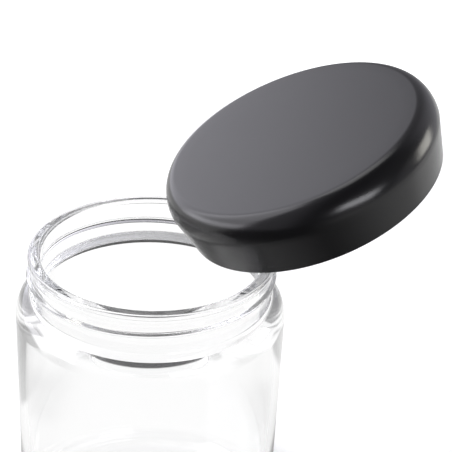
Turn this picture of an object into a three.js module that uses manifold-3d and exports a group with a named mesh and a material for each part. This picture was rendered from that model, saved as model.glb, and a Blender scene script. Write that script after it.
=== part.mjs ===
// A clear glass storage jar with a black screw lid, which is lifted off and tilted beside the mouth.
// Millimetres, +Z up, with the origin at the centre of the jar's flat base.
import * as THREE from "three";
import { mergeVertices } from "three/addons/utils/BufferGeometryUtils.js";
import Module from "manifold-3d";

// Jar, outside
const JAR_HEIGHT = 90;
const HEEL_ROUND = 6;
const SHOULDER_ROUND = 8;
const SHOULDER_DROP = 18.5; // rim to the top of the straight side
const NECK_RADIUS = 33.15;
const SHOULDER_STEP = 4.05; // body beyond the neck
const NECK_FILLET = 1.6;
const BEAD_DEPTH = 1.2; // rim down to the foot of its bead
const BEAD_STEP = 0.4; // bead beyond the neck
const RIM_ROUND = 1;

// Jar, inside
const RIM_WIDTH = 3.4;
const MOUTH_DEPTH = 12.8; // rim to the end of the straight mouth
const MOUTH_BEND = 2.5;
const FLARE_DROP = 18.4; // rim to the top of the straight inner wall
const SIDE_WALL = 3;
const FLOOR_THICKNESS = 5;
const FLOOR_ROUND = 5;

// Screw thread
const THREAD_PITCH = 3.2;
const THREAD_HEIGHT = 1; // ridge beyond the neck
const THREAD_ROUND = 1.3; // radius of the ridge's section
const THREAD_DROP = 4.5; // rim to the middle of the ridge where it starts
const THREAD_START = 60; // degrees round from +X
const THREAD_TURN = 360;
const THREAD_FADE = 0.06; // share of the ridge's length that each end takes to sink into the wall
const THREAD_SINK = 1;

// Lid
const LID_HEIGHT = 17.8;
const SIDE_LEAN = 2.15; // the side's outward lean from lip to rounded edge
const EDGE_IN = 4.5; // rounded edge, measured across the top
const EDGE_DOWN = 6.85; // rounded edge, measured down the side
const TOP_THICKNESS = 2.2;
const LIP_WALL = 0.7;
const LIP_ROUND = 0.3;
const INSERT_WALL = 0.7;
const INSERT_RECESS = 0.6; // lip to the insert's lower edge
const PLATE_THICKNESS = 1.6;
const LINER_THICKNESS = 1.5;
const LINER_DEPTH = 10.5; // lip to the liner's face
const RIDGE_HEIGHT = 0.65; // insert's ridge, inward from its bore
const RIDGE_ROUND = 1.1;
const RIDGE_RISE = 2.2; // lip to the middle of the ridge's lower end
const RIDGE_TURN = 250; // degrees
const RIDGE_START = 180; // degrees round from +X, at the upper end
const THREAD_PLAY = 0.25; // jar thread to insert bore
const FIT = 0.2; // gap between lid pieces

// Where the lid hangs: level above the mouth, then swung about a pivot
const HOVER = 3; // rim to lip when level
const PIVOT_BACK = 9.28; // jar axis to pivot, away from the lid
const PIVOT_RISE = 110.3; // rim to pivot
const SWING_ANGLE = 24.75;
const SWING_AZIMUTH = 13.4;

// Smoothness of round shapes
const ROUND_SEGMENTS = 64;
const ARC_STEPS = 3;
const THREAD_STEPS = 72;
const SECTION_STEPS = 5;
const MERGE_DISTANCE = 1e-3;

const wasm = await Module();
wasm.setup();
const radians = THREE.MathUtils.degToRad;

// A helix that falls clockwise seen from above, with both ends drawn off its radius by the sink.
class Helix extends THREE.Curve {
  constructor(radius, sink, startAngle, turnAngle, startHeight) {
    super();
    this.radius = radius;
    this.sink = sink;
    this.startAngle = radians(startAngle);
    this.turnAngle = radians(turnAngle);
    this.startHeight = startHeight;
  }

  getPoint(t, target = new THREE.Vector3()) {
    const swept = t * this.turnAngle;
    const full = Math.min(1, t / THREAD_FADE, (1 - t) / THREAD_FADE);
    const radius = this.radius - this.sink * (1 - full);
    const height = this.startHeight - (THREAD_PITCH * swept) / (2 * Math.PI);
    const angle = this.startAngle - swept;
    return target.set(radius * Math.cos(angle), radius * Math.sin(angle), height);
  }
}

// A solid for joining and cutting, from any closed geometry.
function toSolid(geometry) {
  const loose = geometry.index ? geometry.toNonIndexed() : geometry;
  const bare = new THREE.BufferGeometry();
  bare.setAttribute("position", loose.getAttribute("position"));
  const merged = mergeVertices(bare, MERGE_DISTANCE);
  const vertProperties = merged.getAttribute("position").array;
  const triVerts = new Uint32Array(merged.index.array);
  return new wasm.Manifold(new wasm.Mesh({ numProp: 3, vertProperties, triVerts }));
}

function toGeometry(solid) {
  const mesh = solid.getMesh();
  const geometry = new THREE.BufferGeometry();
  geometry.setAttribute("position", new THREE.BufferAttribute(mesh.vertProperties, 3));
  geometry.setIndex(new THREE.BufferAttribute(mesh.triVerts, 1));
  geometry.computeVertexNormals();
  return geometry;
}

// A profile drawn as radius and height, turned about the Z axis.
function turned(profile) {
  const lathe = new THREE.LatheGeometry(profile.getPoints(ARC_STEPS), ROUND_SEGMENTS);
  return lathe.rotateX(Math.PI / 2);
}

// A ridge of round section along a helix.
function ridge(sectionRadius, helix) {
  const section = new THREE.Shape().absarc(0, 0, sectionRadius, 0, 2 * Math.PI, false);
  return new THREE.ExtrudeGeometry(section, {
    steps: THREAD_STEPS,
    extrudePath: helix,
    curveSegments: SECTION_STEPS,
  });
}

// Glass jar: outside from the base centre up to the rim, then the inside down to the floor
const bodyRadius = NECK_RADIUS + SHOULDER_STEP;
const heelX = bodyRadius - HEEL_ROUND;
const shoulderX = bodyRadius - SHOULDER_ROUND;
const shoulderZ = JAR_HEIGHT - SHOULDER_DROP;
const filletReach = SHOULDER_ROUND + NECK_FILLET;
const filletX = NECK_RADIUS + NECK_FILLET;
const filletAngle = Math.acos((filletX - shoulderX) / filletReach);
const filletZ = shoulderZ + filletReach * Math.sin(filletAngle);
const rimRadius = NECK_RADIUS + BEAD_STEP;
const mouthRadius = rimRadius - RIM_WIDTH;
const beadZ = JAR_HEIGHT - BEAD_DEPTH;
const rimZ = JAR_HEIGHT - RIM_ROUND;
const innerRadius = bodyRadius - SIDE_WALL;
const bendX = mouthRadius + MOUTH_BEND;
const bendZ = JAR_HEIGHT - MOUTH_DEPTH;
const flareZ = JAR_HEIGHT - FLARE_DROP;
const overlap = bendX - innerRadius;
const fall = bendZ - flareZ;
const flareRound = (overlap ** 2 + fall ** 2 - MOUTH_BEND ** 2) / (2 * (MOUTH_BEND - overlap));
const flareX = innerRadius - flareRound;
const flareAngle = Math.atan2(fall, bendX - flareX);
const floorX = innerRadius - FLOOR_ROUND;
const floorZ = FLOOR_THICKNESS + FLOOR_ROUND;

const jarProfile = new THREE.Path()
  .moveTo(0, 0)
  .lineTo(heelX, 0)
  .absarc(heelX, HEEL_ROUND, HEEL_ROUND, -Math.PI / 2, 0, false)
  .absarc(shoulderX, shoulderZ, SHOULDER_ROUND, 0, filletAngle, false)
  .absarc(filletX, filletZ, NECK_FILLET, Math.PI + filletAngle, Math.PI, true)
  .lineTo(NECK_RADIUS, beadZ - BEAD_STEP)
  .lineTo(rimRadius, beadZ)
  .absarc(rimRadius - RIM_ROUND, rimZ, RIM_ROUND, 0, Math.PI / 2, false)
  .absarc(mouthRadius + RIM_ROUND, rimZ, RIM_ROUND, Math.PI / 2, Math.PI, false)
  .absarc(bendX, bendZ, MOUTH_BEND, Math.PI, Math.PI + flareAngle, false)
  .absarc(flareX, flareZ, flareRound, flareAngle, 0, true)
  .absarc(floorX, floorZ, FLOOR_ROUND, 0, -Math.PI / 2, true)
  .lineTo(0, FLOOR_THICKNESS);

const threadCrest = NECK_RADIUS + THREAD_HEIGHT;
const threadHelix = new Helix(
  threadCrest - THREAD_ROUND,
  THREAD_SINK,
  THREAD_START,
  THREAD_TURN,
  JAR_HEIGHT - THREAD_DROP,
);
const jarSolid = toSolid(turned(jarProfile)).add(toSolid(ridge(THREAD_ROUND, threadHelix)));
const jar = new THREE.Mesh(
  toGeometry(jarSolid),
  new THREE.MeshStandardMaterial({ color: 0xe4ece8, roughness: 0.05, metalness: 0 }),
);
jar.name = "jar";

// Lid pieces, drawn upward from the lip
const insertBore = threadCrest + THREAD_PLAY;
const insertRadius = insertBore + INSERT_WALL;
const shellBore = insertRadius + FIT;
const lipRadius = shellBore + LIP_WALL;
const edgeRadius = lipRadius + SIDE_LEAN;
const edgeZ = LID_HEIGHT - EDGE_DOWN;
const ceilingZ = LID_HEIGHT - TOP_THICKNESS;
const insertTop = ceilingZ - FIT;
const plateZ = LINER_DEPTH + LINER_THICKNESS + FIT;
const plateTop = plateZ + PLATE_THICKNESS;

const shellProfile = new THREE.Path()
  .moveTo(0, ceilingZ)
  .lineTo(shellBore, ceilingZ)
  .lineTo(shellBore, 0)
  .lineTo(lipRadius - LIP_ROUND, 0)
  .absarc(lipRadius - LIP_ROUND, LIP_ROUND, LIP_ROUND, -Math.PI / 2, 0, false)
  .lineTo(edgeRadius, edgeZ)
  .absellipse(edgeRadius - EDGE_IN, edgeZ, EDGE_IN, EDGE_DOWN, 0, Math.PI / 2, false)
  .lineTo(0, LID_HEIGHT);
const lidShell = new THREE.Mesh(
  turned(shellProfile),
  new THREE.MeshStandardMaterial({ color: 0x1b1c1f, roughness: 0.32, metalness: 0 }),
);
lidShell.name = "lid_shell";

const insertProfile = new THREE.Path()
  .moveTo(0, plateZ)
  .lineTo(insertBore, plateZ)
  .lineTo(insertBore, INSERT_RECESS)
  .lineTo(insertRadius, INSERT_RECESS)
  .lineTo(insertRadius, insertTop)
  .lineTo(insertBore, insertTop)
  .lineTo(insertBore, plateTop)
  .lineTo(0, plateTop);
const ridgeHelix = new Helix(
  insertBore - RIDGE_HEIGHT + RIDGE_ROUND,
  -RIDGE_HEIGHT,
  RIDGE_START,
  RIDGE_TURN,
  RIDGE_RISE + (THREAD_PITCH * RIDGE_TURN) / 360,
);
const insideInsert = new THREE.CylinderGeometry(insertRadius, insertRadius, LID_HEIGHT, ROUND_SEGMENTS)
  .rotateX(Math.PI / 2);
const ridgeSolid = toSolid(ridge(RIDGE_ROUND, ridgeHelix)).intersect(
  toSolid(insideInsert.translate(0, 0, LID_HEIGHT / 2)),
);
const lidInsert = new THREE.Mesh(
  toGeometry(toSolid(turned(insertProfile)).add(ridgeSolid)),
  new THREE.MeshStandardMaterial({ color: 0x232427, roughness: 0.5, metalness: 0 }),
);
lidInsert.name = "lid_insert";

const linerRadius = insertBore - FIT;
const lidLiner = new THREE.Mesh(
  new THREE.CylinderGeometry(linerRadius, linerRadius, LINER_THICKNESS, ROUND_SEGMENTS)
    .rotateX(Math.PI / 2)
    .translate(0, 0, LINER_DEPTH + LINER_THICKNESS / 2),
  new THREE.MeshStandardMaterial({ color: 0xeeede8, roughness: 0.8, metalness: 0 }),
);
lidLiner.name = "lid_liner";

// The lid hangs level over the mouth from the pivot, which then swings it out and up.
const lid = new THREE.Group().add(lidShell, lidInsert, lidLiner);
lid.position.set(PIVOT_BACK, 0, HOVER - PIVOT_RISE);
const arm = new THREE.Group().add(lid);
arm.position.set(-PIVOT_BACK, 0, JAR_HEIGHT + PIVOT_RISE);
arm.rotation.y = -radians(SWING_ANGLE);
const bearing = new THREE.Group().add(arm);
bearing.rotation.z = radians(SWING_AZIMUTH);

export default new THREE.Group().add(jar, bearing);
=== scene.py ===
import math

import bpy
from mathutils import Matrix, Vector


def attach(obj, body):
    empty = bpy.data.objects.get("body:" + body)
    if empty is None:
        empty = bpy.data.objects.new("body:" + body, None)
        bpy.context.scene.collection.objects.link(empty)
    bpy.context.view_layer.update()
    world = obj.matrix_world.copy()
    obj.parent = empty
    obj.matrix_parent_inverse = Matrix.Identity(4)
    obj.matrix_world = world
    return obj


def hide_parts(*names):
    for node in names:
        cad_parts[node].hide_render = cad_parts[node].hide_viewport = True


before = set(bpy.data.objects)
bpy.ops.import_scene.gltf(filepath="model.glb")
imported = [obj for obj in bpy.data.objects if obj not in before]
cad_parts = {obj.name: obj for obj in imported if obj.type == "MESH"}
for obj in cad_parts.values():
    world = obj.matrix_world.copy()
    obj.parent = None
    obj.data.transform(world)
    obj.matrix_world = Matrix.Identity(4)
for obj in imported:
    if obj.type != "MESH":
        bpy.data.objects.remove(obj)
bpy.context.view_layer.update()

# Glass jar.
# One piece of clear glass, blown in a mould: straight sides, a rounded shoulder and a threaded neck.
# The rim is fire-polished smooth, and the glass is thickest round the shoulder and in the floor.
MM = 0.001
JAR_STEPS = 256
BODY_RADIUS = 37.2
INNER_RADIUS = 34.2
NECK_RADIUS = 33.15
RIM_RADIUS = 33.55
MOUTH_RADIUS = 30.15
HEEL_ROUND = 6
SHOULDER_ROUND = 8
SHOULDER_Z = 71.5
NECK_FILLET = 1.6
RIM_ROUND = 1
RIM_Z = 89
# Three steps of the small flare from the neck to the rim: how far out, and at what height.
RIM_FLARE = ((0.05, 88.3), (0.18, 88.55), (0.32, 88.75))
MOUTH_BEND = 0.5
BEND_Z = 77.13
STEEP_TURN = 52
SHALLOW_TURN = 28
CORNER_ROUND = 0.5
TAPER_TURN = 6
TAPER_DEPTH = 2.3
FLOOR_Z = 5
FLOOR_ROUND = 5
THREAD_PITCH = 3.2
THREAD_ROWS = (79.6, 88.1)
THREAD_PROUD = 0.9
THREAD_SPREAD = 0.8
THREAD_TOP = 85.23
# How softly a ridge runs into its wall, and how many half widths from it the rows slide all the way.
RIDGE_FOOT = 0.15
RIDGE_REACH = 1.5
# A point this near a wall counts as on it, and an edge that turns by more degrees than this stays sharp.
ON_WALL = 0.01
SHARP_EDGE = 40


def arc(x, z, radius, start, end, steps):
    """Points of a round stretch of a profile, as (radius, height), between two angles in degrees."""
    turns = [math.radians(start + (end - start) * i / steps) for i in range(steps + 1)]
    return [(x + radius * math.cos(a), z + radius * math.sin(a)) for a in turns]


def straight(x0, z0, x1, z1, steps):
    """Points of a straight stretch of a profile that needs rows of its own."""
    return [(x0 + (x1 - x0) * i / steps, z0 + (z1 - z0) * i / steps) for i in range(steps + 1)]


def turn_profile(name, profile, steps):
    """A closed piece turned about the Z axis from its profile, drawn in millimetres."""
    bpy.ops.object.select_all(action="DESELECT")
    bpy.ops.mesh.primitive_plane_add(size=MM)
    piece = bpy.context.object
    piece.name = piece.data.name = name
    bpy.ops.object.mode_set(mode="EDIT")
    bpy.ops.mesh.select_all(action="SELECT")
    bpy.ops.mesh.merge(type="CENTER")
    x, z = profile[0]
    bpy.ops.transform.translate(value=(x * MM, 0, z * MM))
    for nx, nz in profile[1:]:
        if math.hypot(nx - x, nz - z) > 1e-6:
            step = ((nx - x) * MM, 0, (nz - z) * MM)
            bpy.ops.mesh.extrude_region_move(TRANSFORM_OT_translate={"value": step})
        x, z = nx, nz
    bpy.ops.mesh.select_all(action="SELECT")
    bpy.ops.mesh.spin(steps=steps, angle=2 * math.pi, center=(0, 0, 0), axis=(0, 0, 1))
    bpy.ops.mesh.select_all(action="SELECT")
    bpy.ops.mesh.remove_doubles(threshold=1e-6)
    bpy.ops.mesh.normals_make_consistent(inside=False)
    bpy.ops.object.mode_set(mode="OBJECT")
    return piece


def raise_thread(piece, wall, proud, spread, rows, start, turn, fade, top):
    """Slides the rows of a round wall along a screw line that falls clockwise, and raises a ridge on it."""
    low, high = rows
    middle, half = (low + high) / 2, (high - low) / 2
    for v in piece.data.vertices:
        x, y, z = (c / MM for c in v.co)
        radius = math.hypot(x, y)
        if abs(radius - wall) > ON_WALL or not low < z < high:
            continue
        swept = (start - math.degrees(math.atan2(y, x))) % 360
        line = top - THREAD_PITCH * swept / 360
        if swept > turn:
            line = top - THREAD_PITCH * turn / 360 * (360 - swept) / (360 - turn)
        off = abs(z - middle)
        slide = min(1, (half - off) / (half - RIDGE_REACH * spread))
        ends = max(0, min(1, swept / fade, (turn - swept) / fade))
        crown = 1 - (off / spread) ** 2
        raised = radius + proud * ends * (crown + math.hypot(crown, RIDGE_FOOT)) / 2
        v.co = (x / radius * raised * MM, y / radius * raised * MM, (z + slide * (line - middle)) * MM)


def pick(piece):
    """Selects one piece and nothing else."""
    bpy.ops.object.select_all(action="DESELECT")
    piece.select_set(True)
    bpy.context.view_layer.objects.active = piece


def smooth(piece):
    """Smooth shading, apart from sharp edges."""
    pick(piece)
    bpy.ops.object.shade_smooth_by_angle(angle=math.radians(SHARP_EDGE))


# The shoulder's outside runs into the neck by a small fillet that touches both.
shoulder_x = BODY_RADIUS - SHOULDER_ROUND
fillet_x = NECK_RADIUS + NECK_FILLET
fillet_turn = math.degrees(math.acos((fillet_x - shoulder_x) / (SHOULDER_ROUND + NECK_FILLET)))
fillet_z = SHOULDER_Z + (SHOULDER_ROUND + NECK_FILLET) * math.sin(math.radians(fillet_turn))
# The inside bends out under the straight mouth, follows a hollow curve to a small corner,
# and runs from there down the wall in a long taper.
bend_x = MOUTH_RADIUS + MOUTH_BEND
steep, shallow, taper = (math.radians(turn) for turn in (STEEP_TURN, SHALLOW_TURN, TAPER_TURN))
taper_round = TAPER_DEPTH / (1 - math.cos(taper))
hollow_run = INNER_RADIUS - TAPER_DEPTH - MOUTH_RADIUS
hollow_run -= MOUTH_BEND * (1 - math.cos(steep)) + CORNER_ROUND * (math.cos(taper) - math.cos(shallow))
hollow_round = hollow_run / (math.cos(shallow) - math.cos(steep))
hollow_x = bend_x - (MOUTH_BEND + hollow_round) * math.cos(steep)
hollow_z = BEND_Z - (MOUTH_BEND + hollow_round) * math.sin(steep)
corner_x = hollow_x + (hollow_round - CORNER_ROUND) * math.cos(shallow)
corner_z = hollow_z + (hollow_round - CORNER_ROUND) * math.sin(shallow)
taper_z = corner_z + (CORNER_ROUND - taper_round) * math.sin(taper)
jar = turn_profile(
    "glass_jar",
    [(0, 0), (BODY_RADIUS - HEEL_ROUND, 0)]
    + arc(BODY_RADIUS - HEEL_ROUND, HEEL_ROUND, HEEL_ROUND, -90, 0, steps=16)
    + arc(shoulder_x, SHOULDER_Z, SHOULDER_ROUND, 0, fillet_turn, steps=36)
    + arc(fillet_x, fillet_z, NECK_FILLET, 180 + fillet_turn, 180, steps=12)
    + straight(NECK_RADIUS, THREAD_ROWS[0], NECK_RADIUS, THREAD_ROWS[1], steps=60)
    + [(NECK_RADIUS + out, z) for out, z in RIM_FLARE]
    + arc(RIM_RADIUS - RIM_ROUND, RIM_Z, RIM_ROUND, 0, 90, steps=14)
    + arc(MOUTH_RADIUS + RIM_ROUND, RIM_Z, RIM_ROUND, 90, 180, steps=14)
    + arc(bend_x, BEND_Z, MOUTH_BEND, 180, 180 + STEEP_TURN, steps=16)
    + arc(hollow_x, hollow_z, hollow_round, STEEP_TURN, SHALLOW_TURN, steps=24)
    + arc(corner_x, corner_z, CORNER_ROUND, SHALLOW_TURN, TAPER_TURN, steps=12)
    + arc(INNER_RADIUS - taper_round, taper_z, taper_round, TAPER_TURN, 0, steps=24)
    + arc(INNER_RADIUS - FLOOR_ROUND, FLOOR_Z + FLOOR_ROUND, FLOOR_ROUND, 0, -90, steps=16)
    + [(0, FLOOR_Z)],
    JAR_STEPS,
)
raise_thread(
    jar, NECK_RADIUS, THREAD_PROUD, THREAD_SPREAD, THREAD_ROWS, start=30, turn=335, fade=22, top=THREAD_TOP
)
smooth(jar)

glass = bpy.data.materials.new("clear_glass")
glass.use_nodes = True
nodes, links = glass.node_tree.nodes, glass.node_tree.links
body = nodes["Principled BSDF"]
body.inputs["Base Color"].default_value = (1, 1, 1, 1)
body.inputs["Transmission Weight"].default_value = 1
body.inputs["IOR"].default_value = 1.51
place = nodes.new("ShaderNodeTexCoord")
waves = nodes.new("ShaderNodeTexNoise")
waves.inputs["Scale"].default_value = 45
waves.inputs["Detail"].default_value = 1
links.new(place.outputs["Object"], waves.inputs["Vector"])
wavy = nodes.new("ShaderNodeBump")
wavy.inputs["Strength"].default_value = 0.03
wavy.inputs["Distance"].default_value = 0.001
links.new(waves.outputs["Fac"], wavy.inputs["Height"])
links.new(wavy.outputs["Normal"], body.inputs["Normal"])
smears = nodes.new("ShaderNodeTexNoise")
smears.inputs["Scale"].default_value = 160
links.new(place.outputs["Object"], smears.inputs["Vector"])
polish = nodes.new("ShaderNodeMapRange")
polish.inputs["From Min"].default_value = 0.45
polish.inputs["From Max"].default_value = 0.8
polish.inputs["To Min"].default_value = 0
polish.inputs["To Max"].default_value = 0.03
links.new(smears.outputs["Fac"], polish.inputs["Value"])
links.new(polish.outputs["Result"], body.inputs["Roughness"])
tint = nodes.new("ShaderNodeVolumeAbsorption")
tint.inputs["Color"].default_value = (0.56, 0.57, 0.57, 1)
tint.inputs["Density"].default_value = 6
ray = nodes.new("ShaderNodeLightPath")
clear = nodes.new("ShaderNodeBsdfTransparent")
lit = nodes.new("ShaderNodeMixShader")
links.new(ray.outputs["Is Shadow Ray"], lit.inputs["Fac"])
links.new(body.outputs["BSDF"], lit.inputs[1])
links.new(clear.outputs["BSDF"], lit.inputs[2])
out = nodes["Material Output"]
links.new(lit.outputs["Shader"], out.inputs["Surface"])
links.new(tint.outputs["Volume"], out.inputs["Volume"])
jar.data.materials.append(glass)
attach(jar, "jar")
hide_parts("jar")

# Lid cover.
# The smooth black outside of the lid, injection moulded with a flat top, a rounded edge and plain sides.
# Its sides lean out a little towards the top, and its lip is thin.
LID_STEPS = 256
LID_HEIGHT = 17.8
LIP_RADIUS = 36
LIP_ROUND = 0.3
SIDE_RADIUS = 38.15
EDGE_IN = 4.5
EDGE_DOWN = 6.85
EDGE_STEPS = 28
TOP_RINGS = (30, 20, 10, 0)
COVER_BORE = 35.3
BORE_ROUND = 0.25
ROOF_Z = 15.6
ROOF_FILLET = 0.5
# The lid tips about a level line well above the jar, which also brings it level over the mouth.
LID_HEADING = 13.4
LID_TILT = 24.75
LID_LIFT = 3
SWING_BACK = 9.28
SWING_RISE = 110.3
swing_z = RIM_Z + RIM_ROUND + SWING_RISE
heading = Matrix.Rotation(math.radians(LID_HEADING), 4, "Z")
pivot = Matrix.Translation((-SWING_BACK * MM, 0, swing_z * MM))
tip = Matrix.Rotation(math.radians(-LID_TILT), 4, "Y")
hang = Matrix.Translation((SWING_BACK * MM, 0, (LID_LIFT - SWING_RISE) * MM))
lid_place = heading @ pivot @ tip @ hang


def hang_with_lid(piece):
    """Moves a lid piece from where it is drawn, with its lip at the origin, to where the lid hangs."""
    pick(piece)
    piece.matrix_world = lid_place
    bpy.ops.object.transform_apply(location=True, rotation=True, scale=True)


edge_x = SIDE_RADIUS - EDGE_IN
edge_z = LID_HEIGHT - EDGE_DOWN
shell = turn_profile(
    "lid_cover",
    [(0, ROOF_Z)]
    + arc(COVER_BORE - ROOF_FILLET, ROOF_Z - ROOF_FILLET, ROOF_FILLET, 90, 0, steps=4)
    + [(COVER_BORE, LIP_ROUND)]
    + arc(COVER_BORE + BORE_ROUND, BORE_ROUND, BORE_ROUND, 180, 270, steps=4)
    + arc(LIP_RADIUS - LIP_ROUND, LIP_ROUND, LIP_ROUND, -90, 0, steps=5)
    + straight(LIP_RADIUS, LIP_ROUND, SIDE_RADIUS, edge_z, steps=6)
    + [(edge_x + EDGE_IN * x, edge_z + EDGE_DOWN * z) for x, z in arc(0, 0, 1, 0, 90, EDGE_STEPS)]
    + [(ring, LID_HEIGHT) for ring in TOP_RINGS],
    LID_STEPS,
)
smooth(shell)
hang_with_lid(shell)

moulded = bpy.data.node_groups.new("moulded_plastic", "ShaderNodeTree")
moulded.interface.new_socket("Flow Scale", in_out="INPUT", socket_type="NodeSocketFloat")
moulded.interface.new_socket("Grain Scale", in_out="INPUT", socket_type="NodeSocketFloat")
moulded.interface.new_socket("Flow", in_out="OUTPUT", socket_type="NodeSocketFloat")
moulded.interface.new_socket("Grain", in_out="OUTPUT", socket_type="NodeSocketFloat")
given = moulded.nodes.new("NodeGroupInput")
made = moulded.nodes.new("NodeGroupOutput")
place = moulded.nodes.new("ShaderNodeTexCoord")
for name, detail in (("Flow", 4), ("Grain", 2)):
    noise = moulded.nodes.new("ShaderNodeTexNoise")
    noise.inputs["Detail"].default_value = detail
    moulded.links.new(place.outputs["Object"], noise.inputs["Vector"])
    moulded.links.new(given.outputs[name + " Scale"], noise.inputs["Scale"])
    moulded.links.new(noise.outputs["Fac"], made.inputs[name])

# Nearly all of the flow pattern lies between these two values.
FLOW_LOW = 0.3
FLOW_HIGH = 0.7


def plastic(name, dark, light, smoothest, roughest, flow_scale, grain_scale, bump):
    """A moulded plastic whose colour and gloss drift a little over the surface, with a fine grain."""
    material = bpy.data.materials.new(name)
    material.use_nodes = True
    nodes, links = material.node_tree.nodes, material.node_tree.links
    body = nodes["Principled BSDF"]
    body.inputs["IOR"].default_value = 1.5
    surface = nodes.new("ShaderNodeGroup")
    surface.node_tree = moulded
    surface.inputs["Flow Scale"].default_value = flow_scale
    surface.inputs["Grain Scale"].default_value = grain_scale
    shade = nodes.new("ShaderNodeValToRGB")
    shade.color_ramp.elements[0].position = FLOW_LOW
    shade.color_ramp.elements[0].color = (*dark, 1)
    shade.color_ramp.elements[1].position = FLOW_HIGH
    shade.color_ramp.elements[1].color = (*light, 1)
    links.new(surface.outputs["Flow"], shade.inputs["Fac"])
    links.new(shade.outputs["Color"], body.inputs["Base Color"])
    gloss = nodes.new("ShaderNodeMapRange")
    gloss.inputs["From Min"].default_value = FLOW_LOW
    gloss.inputs["From Max"].default_value = FLOW_HIGH
    gloss.inputs["To Min"].default_value = smoothest
    gloss.inputs["To Max"].default_value = roughest
    links.new(surface.outputs["Flow"], gloss.inputs["Value"])
    links.new(gloss.outputs["Result"], body.inputs["Roughness"])
    fine = nodes.new("ShaderNodeBump")
    fine.inputs["Strength"].default_value = bump
    fine.inputs["Distance"].default_value = 0.0002
    links.new(surface.outputs["Grain"], fine.inputs["Height"])
    links.new(fine.outputs["Normal"], body.inputs["Normal"])
    return material


satin_black = plastic(
    "satin_black",
    dark=(0.0035, 0.0034, 0.0038),
    light=(0.0055, 0.0053, 0.006),
    smoothest=0.2,
    roughest=0.25,
    flow_scale=60,
    grain_scale=3500,
    bump=0.05,
)
shell.data.materials.append(satin_black)
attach(shell, "cap")
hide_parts("lid_shell")

# Lid insert.
# The threaded ring inside the cover, injection moulded in plain black plastic and pressed into the cover.
# A plate across it backs the liner, and the ridge on its bore catches the thread on the neck.
INSERT_BORE = 34.4
INSERT_RADIUS = 35.1
INSERT_FOOT = 0.6
INSERT_TOP = 15.4
INSERT_ROUND = 0.2
PLATE_Z = 12.2
PLATE_TOP = 13.8
PLATE_FILLET = 0.4
BORE_TOP = 6
RIDGE_ROWS = (0.95, 5.9)
RIDGE_PROUD = 0.65
RIDGE_SPREAD = 0.9
RIDGE_TOP = 4.42
low_z, high_z = INSERT_FOOT + INSERT_ROUND, INSERT_TOP - INSERT_ROUND
inner_x, outer_x = INSERT_BORE + INSERT_ROUND, INSERT_RADIUS - INSERT_ROUND
plate_x = INSERT_BORE - PLATE_FILLET
insert = turn_profile(
    "lid_insert_ring",
    [(0, PLATE_Z)]
    + arc(plate_x, PLATE_Z - PLATE_FILLET, PLATE_FILLET, 90, 0, steps=5)
    + straight(INSERT_BORE, BORE_TOP, INSERT_BORE, RIDGE_ROWS[0], steps=40)
    + arc(inner_x, low_z, INSERT_ROUND, 180, 270, steps=4)
    + arc(outer_x, low_z, INSERT_ROUND, -90, 0, steps=4)
    + arc(outer_x, high_z, INSERT_ROUND, 0, 90, steps=4)
    + arc(inner_x, high_z, INSERT_ROUND, 90, 180, steps=4)
    + arc(plate_x, PLATE_TOP + PLATE_FILLET, PLATE_FILLET, 0, -90, steps=5)
    + [(0, PLATE_TOP)],
    LID_STEPS,
)
raise_thread(
    insert, INSERT_BORE, -RIDGE_PROUD, RIDGE_SPREAD, RIDGE_ROWS, start=180, turn=250, fade=15, top=RIDGE_TOP
)
smooth(insert)
hang_with_lid(insert)
moulded_black = plastic(
    "moulded_black",
    dark=(0.012, 0.012, 0.013),
    light=(0.018, 0.018, 0.019),
    smoothest=0.4,
    roughest=0.5,
    flow_scale=90,
    grain_scale=2200,
    bump=0.12,
)
insert.data.materials.append(moulded_black)
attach(insert, "cap")
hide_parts("lid_insert")

# Lid liner.
# A loose disc of white foam, cut from sheet, that seals against the rim.
# The rim has pressed a faint ring into its face.
LINER_RADIUS = 34.2
LINER_Z = 10.5
LINER_TOP = 12.0
LINER_ROUND = 0.2
FACE_RINGS = (0, 15, 28, 29.6)
BACK_RINGS = (15, 0)
# The pressed ring, as radius and depth. The face outside it stays pressed in a little.
RIM_MARK = ((30.2, 0.04), (30.9, 0.13), (31.9, 0.16), (32.8, 0.12), (33.4, 0.04), (33.8, 0.02))
mark_end = RIM_MARK[-1][1]
liner = turn_profile(
    "lid_liner_disc",
    [(ring, LINER_Z) for ring in FACE_RINGS]
    + [(ring, LINER_Z + depth) for ring, depth in RIM_MARK]
    + arc(LINER_RADIUS - LINER_ROUND, LINER_Z + LINER_ROUND + mark_end, LINER_ROUND, -90, 0, steps=4)
    + arc(LINER_RADIUS - LINER_ROUND, LINER_TOP - LINER_ROUND, LINER_ROUND, 0, 90, steps=4)
    + [(ring, LINER_TOP) for ring in BACK_RINGS],
    LID_STEPS,
)
smooth(liner)
hang_with_lid(liner)
foam = bpy.data.materials.new("white_foam")
foam.use_nodes = True
nodes, links = foam.node_tree.nodes, foam.node_tree.links
body = nodes["Principled BSDF"]
body.inputs["Roughness"].default_value = 0.8
place = nodes.new("ShaderNodeTexCoord")
cells = nodes.new("ShaderNodeTexVoronoi")
cells.inputs["Scale"].default_value = 1800
links.new(place.outputs["Object"], cells.inputs["Vector"])
shade = nodes.new("ShaderNodeValToRGB")
shade.color_ramp.elements[0].color = (0.72, 0.71, 0.67, 1)
shade.color_ramp.elements[1].color = (0.84, 0.83, 0.79, 1)
links.new(cells.outputs["Distance"], shade.inputs["Fac"])
links.new(shade.outputs["Color"], body.inputs["Base Color"])
pores = nodes.new("ShaderNodeBump")
pores.inputs["Strength"].default_value = 0.25
pores.inputs["Distance"].default_value = 0.0003
links.new(cells.outputs["Distance"], pores.inputs["Height"])
links.new(pores.outputs["Normal"], body.inputs["Normal"])
liner.data.materials.append(foam)
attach(liner, "liner")
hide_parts("lid_liner")

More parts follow.
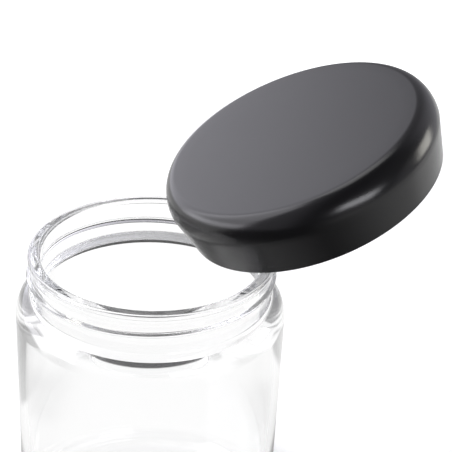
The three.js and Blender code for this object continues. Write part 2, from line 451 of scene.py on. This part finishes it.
# Floor.
# A flat sheet of white paper under the jar, with a painted shade round the jar's foot.
# For the glass and the lid it glows instead with painted light and shade, darker in parts than the camera
# sees, standing in for a table in a room.
FLOOR_SIZE = 2.4
FLOOR_SPOT = (0, 0.75, -0.0002)
# Each of these is where a change begins and ends, in metres, and the levels on its two sides.
FOOT_SHADE = (0.034, 0.06, 0, 0.5)
PAPER_FAR = (0.15, 0.5, 0, 1)
MIRRORED_BACK = (-0.03, 0.1, 0.05, 1)
MIRRORED_FOOT = (0.05, 0.16, 0.4, 0.05)
MIRRORED_RIGHT = (0.04, 0.3, 0.05, 0.7)
BACK_EDGE = (0.201, 0.209, 1.1, 0.02)
RING_INSIDE = (0.037, 0.042, 0.72, 0.28)
RING_OUTSIDE = (0.105, 0.116, 0.28, 1)
RING_SIDES = (0.045, 0.06, 0, 1)
LEFT_ACROSS = (-0.09, -0.065, 1, 0)
LEFT_SLANT = (0.085, 0.097, 0, 1)
LEFT_DEPTH = (0.03, 0.1, 0.5, 0.72)
RIGHT_ACROSS = (0.065, 0.09, 0, 1)
RIGHT_DEPTH = (0.098, 0.115, 0, 0.5)
BESIDE_ACROSS = (0.03, 0.06, 0, 0.2)
BESIDE_FRONT = (0.04, 0.055, 0, 1)
BESIDE_BACK = (0.075, 0.1, 1, 0)
UNDER_FRONT = (0.0693, 0.0723, 0.05, 1)
UNDER_JAR = (0.04, 0.05, 0.05, 1)
# This one goes by how flat a ray meets the floor, from 0 for straight down.
UNDER_STEEP = (0.18, 0.26, 0, 1)
# The front edge of the painted shade under the jar is round about a point this far before the jar's axis.
UNDER_CENTRE = 0.049
FAR_LEVEL = 1.05
SLANT = 0.5
# Light has gone through fewer than this many faces of glass when it has passed one wall only.
ONE_WALL = 3


def ramp(tree, value, low, high, start, end):
    """A smooth change from start to end as value goes from low to high."""
    step = tree.nodes.new("ShaderNodeMapRange")
    step.interpolation_type = "SMOOTHSTEP"
    for name, number in zip(("From Min", "From Max", "To Min", "To Max"), (low, high, start, end)):
        step.inputs[name].default_value = number
    tree.links.new(value, step.inputs["Value"])
    return step.outputs["Result"]


def combine(tree, operation, first, *others):
    """One number worked out from several, taken in turn."""
    for other in others:
        step = tree.nodes.new("ShaderNodeMath")
        step.operation = operation
        for socket, value in zip(step.inputs, (first, other)):
            if isinstance(value, (int, float)):
                socket.default_value = value
            else:
                tree.links.new(value, socket)
        first = step.outputs[0]
    return first


def choose(tree, switch, chosen, other):
    """One of two numbers, by a switch that is 1 or 0."""
    first = combine(tree, "MULTIPLY", switch, chosen)
    rest = combine(tree, "MULTIPLY", combine(tree, "SUBTRACT", 1, switch), other)
    return combine(tree, "ADD", first, rest)


def distance(tree, first, second):
    """The length of a step with these two parts."""
    squares = [combine(tree, "MULTIPLY", part, part) for part in (first, second)]
    return combine(tree, "POWER", combine(tree, "ADD", *squares), 0.5)


bpy.ops.object.select_all(action="DESELECT")
bpy.ops.mesh.primitive_plane_add(size=FLOOR_SIZE, location=FLOOR_SPOT)
floor = bpy.context.object
bpy.ops.object.transform_apply(location=True, rotation=True, scale=True)
floor.name = "floor"
paper = bpy.data.materials.new("white_paper")
paper.use_nodes = True
tree = paper.node_tree
body = tree.nodes["Principled BSDF"]
body.inputs["Base Color"].default_value = (0.8, 0.8, 0.8, 1)
body.inputs["Roughness"].default_value = 0.9
body.inputs["Specular IOR Level"].default_value = 0
body.inputs["Emission Color"].default_value = (1, 1, 1, 1)
ray = tree.nodes.new("ShaderNodeLightPath")
place = tree.nodes.new("ShaderNodeTexCoord")
parts = tree.nodes.new("ShaderNodeSeparateXYZ")
tree.links.new(place.outputs["Object"], parts.inputs[0])
across, along = parts.outputs["X"], parts.outputs["Y"]
spread = combine(tree, "MAXIMUM", across, combine(tree, "MULTIPLY", across, -1))
outward = distance(tree, across, along)

# The camera sees white paper with a glow added that is weaker near the jar: a painted shade round the jar's
# foot.
lift = combine(tree, "MAXIMUM", ramp(tree, outward, *FOOT_SHADE), ramp(tree, outward, *PAPER_FAR))
lift = combine(tree, "MULTIPLY", ray.outputs["Is Camera Ray"], lift)
tree.links.new(lift, body.inputs["Emission Strength"])

# Shiny faces mirror a painted reflection: the floor glows for them bright at the back and to the right, and
# dim in front.
turned = combine(tree, "MULTIPLY", combine(tree, "MINIMUM", across, 0), SLANT)
turned = combine(tree, "SUBTRACT", along, turned)
mirrored = combine(
    tree,
    "MAXIMUM",
    ramp(tree, turned, *MIRRORED_BACK),
    ramp(tree, outward, *MIRRORED_FOOT),
    ramp(tree, across, *MIRRORED_RIGHT),
)

# Through one wall the floor glows white up to a painted dark edge at the back. Light that was turned inside
# the glass
# also meets painted grey shade: a ring round the jar and two corners behind it.
near = ramp(tree, along, *BACK_EDGE)
ring = combine(
    tree,
    "MAXIMUM",
    ramp(tree, outward, *RING_INSIDE),
    ramp(tree, outward, *RING_OUTSIDE),
    ramp(tree, spread, *RING_SIDES),
)
slanted = combine(tree, "SUBTRACT", along, combine(tree, "MULTIPLY", across, SLANT))
left = combine(tree, "MINIMUM", ramp(tree, across, *LEFT_ACROSS), ramp(tree, slanted, *LEFT_SLANT))
left = combine(tree, "MULTIPLY", left, ramp(tree, along, *LEFT_DEPTH))
right = combine(tree, "MULTIPLY", ramp(tree, across, *RIGHT_ACROSS), ramp(tree, along, *RIGHT_DEPTH))
corners = [combine(tree, "SUBTRACT", 1, corner) for corner in (left, right)]
guided = combine(tree, "MULTIPLY", near, ring, *corners)
unturned = combine(tree, "LESS_THAN", ray.outputs["Glossy Depth"], 0.5)
near = choose(tree, unturned, near, guided)

# Through both walls it glows white, with a little painted shade beside the jar, and a painted dark shade
# under the jar for rays that come down on it steeply.
beside = combine(
    tree,
    "MULTIPLY",
    ramp(tree, spread, *BESIDE_ACROSS),
    ramp(tree, along, *BESIDE_FRONT),
    ramp(tree, along, *BESIDE_BACK),
)
forward = distance(tree, across, combine(tree, "ADD", along, UNDER_CENTRE))
facing = tree.nodes.new("ShaderNodeLayerWeight").outputs["Facing"]
under = combine(
    tree,
    "MAXIMUM",
    ramp(tree, forward, *UNDER_FRONT),
    ramp(tree, outward, *UNDER_JAR),
    ramp(tree, facing, *UNDER_STEEP),
)
far = combine(tree, "MULTIPLY", combine(tree, "SUBTRACT", FAR_LEVEL, beside), under)

# For rays from the glass and the lid the floor is a glow with these levels: painted light and shade in place
# of a lit room.
one_wall = combine(tree, "LESS_THAN", ray.outputs["Transmission Depth"], ONE_WALL)
through = choose(tree, one_wall, near, far)
passed = ray.outputs["Is Transmission Ray"]
glow = tree.nodes.new("ShaderNodeEmission")
tree.links.new(choose(tree, passed, through, mirrored), glow.inputs["Strength"])
shown = tree.nodes.new("ShaderNodeMixShader")
tree.links.new(combine(tree, "MAXIMUM", passed, ray.outputs["Is Glossy Ray"]), shown.inputs["Fac"])
tree.links.new(body.outputs["BSDF"], shown.inputs[1])
tree.links.new(glow.outputs["Emission"], shown.inputs[2])
tree.links.new(shown.outputs["Shader"], tree.nodes["Material Output"].inputs["Surface"])
floor.data.materials.append(paper)

# Room.
# A white studio, dim in front of the jar and brighter behind it and to both sides.
# As on the floor, the glass and the lid pick up more of the dim parts than the camera sees.
ROOM_COLOUR = (0.93, 0.92, 1, 1)
CAMERA_LEVEL = 1.1
DIFFUSE_LEVEL = 0.3
# Each of these is where a change begins and ends, as a part of a direction, and the levels on its two sides.
MIRRORED_AHEAD = (-0.1, 0.5, 0.16, 0.82)
MIRRORED_LEFT = (-0.55, -0.05, 3, 0.5)
MIRRORED_FAR_LEFT = (-0.95, -0.85, 0.3, 1)
MIRRORED_SIDE = (0.2, 0.7, 1, 1.8)
MIRRORED_FAR_SIDE = (0.88, 0.97, 0, 0.45)
NEAR_ABOVE = (0.12, 0.4, 0.04, 0.7)
NEAR_FRONT = (-0.1, 0.2, 0.55, 0)
FAR_AHEAD = (-0.6, 0.2, 0.5, 1)
FAR_ABOVE = (0.3, 0.9, 1, 0.6)
world = bpy.data.worlds.new("studio")
bpy.context.scene.world = world
world.use_nodes = True
tree = world.node_tree
tree.nodes.clear()
way = tree.nodes.new("ShaderNodeTexCoord")
parts = tree.nodes.new("ShaderNodeSeparateXYZ")
tree.links.new(way.outputs["Generated"], parts.inputs[0])
sideways, ahead, up = (parts.outputs[axis] for axis in "XYZ")
ray = tree.nodes.new("ShaderNodeLightPath")
mirrored = combine(
    tree,
    "MULTIPLY",
    ramp(tree, ahead, *MIRRORED_AHEAD),
    ramp(tree, sideways, *MIRRORED_LEFT),
    ramp(tree, sideways, *MIRRORED_SIDE),
    ramp(tree, sideways, *MIRRORED_FAR_LEFT),
)
mirrored = combine(tree, "MAXIMUM", mirrored, ramp(tree, sideways, *MIRRORED_FAR_SIDE))
near = combine(tree, "MAXIMUM", ramp(tree, up, *NEAR_ABOVE), ramp(tree, ahead, *NEAR_FRONT))
far = combine(tree, "MULTIPLY", ramp(tree, ahead, *FAR_AHEAD), ramp(tree, up, *FAR_ABOVE))
one_wall = combine(tree, "LESS_THAN", ray.outputs["Transmission Depth"], ONE_WALL)
kinds = (
    ("Is Glossy Ray", mirrored),
    ("Is Transmission Ray", choose(tree, one_wall, near, far)),
    ("Is Camera Ray", CAMERA_LEVEL),
    ("Is Diffuse Ray", DIFFUSE_LEVEL),
)
levels = [combine(tree, "MULTIPLY", ray.outputs[kind], level) for kind, level in kinds]
sky = tree.nodes.new("ShaderNodeBackground")
sky.inputs["Color"].default_value = ROOM_COLOUR
tree.links.new(combine(tree, "MAXIMUM", *levels), sky.inputs["Strength"])
out = tree.nodes.new("ShaderNodeOutputWorld")
tree.links.new(sky.outputs[0], out.inputs["Surface"])

# Lamps.
# A tall window of soft light on the left, a weak soft box overhead and two low ones on the right.
# The window has three faces, each a little before the last, because in one plane only one would show.
WINDOW_COLOUR = (0.95, 0.94, 1)
# Each face of the window: its name, its place, its width and height, and its level.
WINDOW_FACES = (
    ("window", (-0.75, -0.06, 0.7), 0.9, 1.5, 2.2),
    ("window_top", (-0.74, -0.02, 0.98), 0.95, 0.94, 0.4),
    ("window_foot", (-0.73, -0.08, 0.14), 0.7, 0.16, 2.4),
)
LID_SPOT = (0.05, 0.01, 0.115)
JAR_SPOT = (0, 0, 0.08)


def soft_box(name, spot, aim, wide, high, level, colour):
    """A lamp with a flat face of one brightness, at one point and turned to face another."""
    lamp = bpy.data.lights.new(name, "AREA")
    lamp.shape = "RECTANGLE"
    lamp.size = wide
    lamp.size_y = high
    lamp.energy = level * math.pi * wide * high
    lamp.color = colour
    box = bpy.data.objects.new(name, lamp)
    bpy.context.collection.objects.link(box)
    box.location = spot
    box.rotation_euler = (Vector(aim) - box.location).to_track_quat("-Z", "Y").to_euler()
    box.visible_camera = False


for name, spot, wide, high, level in WINDOW_FACES:
    soft_box(name, spot, (LID_SPOT[0], *spot[1:]), wide, high, level, WINDOW_COLOUR)
soft_box("overhead", (-0.2, 0.2, 1.3), JAR_SPOT, wide=0.6, high=0.6, level=2, colour=(1, 1, 1))
soft_box(
    "right_back", (0.99, 0.29, 0.32), LID_SPOT, wide=0.38, high=0.35, level=4.6, colour=(1, 0.98, 0.9)
)
soft_box(
    "right_front", (0.6, -0.83, 0.23), LID_SPOT, wide=0.6, high=0.22, level=7, colour=(0.96, 0.96, 1)
)

# Light runs a long way inside clear glass, by many turns between its two faces.
GLASS_BOUNCES = 40
cycles = bpy.context.scene.cycles
cycles.max_bounces = GLASS_BOUNCES
cycles.glossy_bounces = GLASS_BOUNCES
cycles.transmission_bounces = GLASS_BOUNCES

# Camera.
# Stands in front of the jar, a little right of it, looking down at the mouth.
CAMERA_SPOT = (0.01955, -0.28295, 0.24875)
CAMERA_DOWN = 27.94
CAMERA_ROLL = 3.11
lens = bpy.data.cameras.new("camera")
lens.sensor_width = 36
lens.lens = 95.25
view = bpy.data.objects.new("camera", lens)
bpy.context.collection.objects.link(view)
view.matrix_world = (
    Matrix.Translation(CAMERA_SPOT)
    @ Matrix.Rotation(math.radians(90 - CAMERA_DOWN), 4, "X")
    @ Matrix.Rotation(math.radians(CAMERA_ROLL), 4, "Z")
)
bpy.context.scene.camera = view
bpy.context.scene.view_settings.view_transform = "Standard"
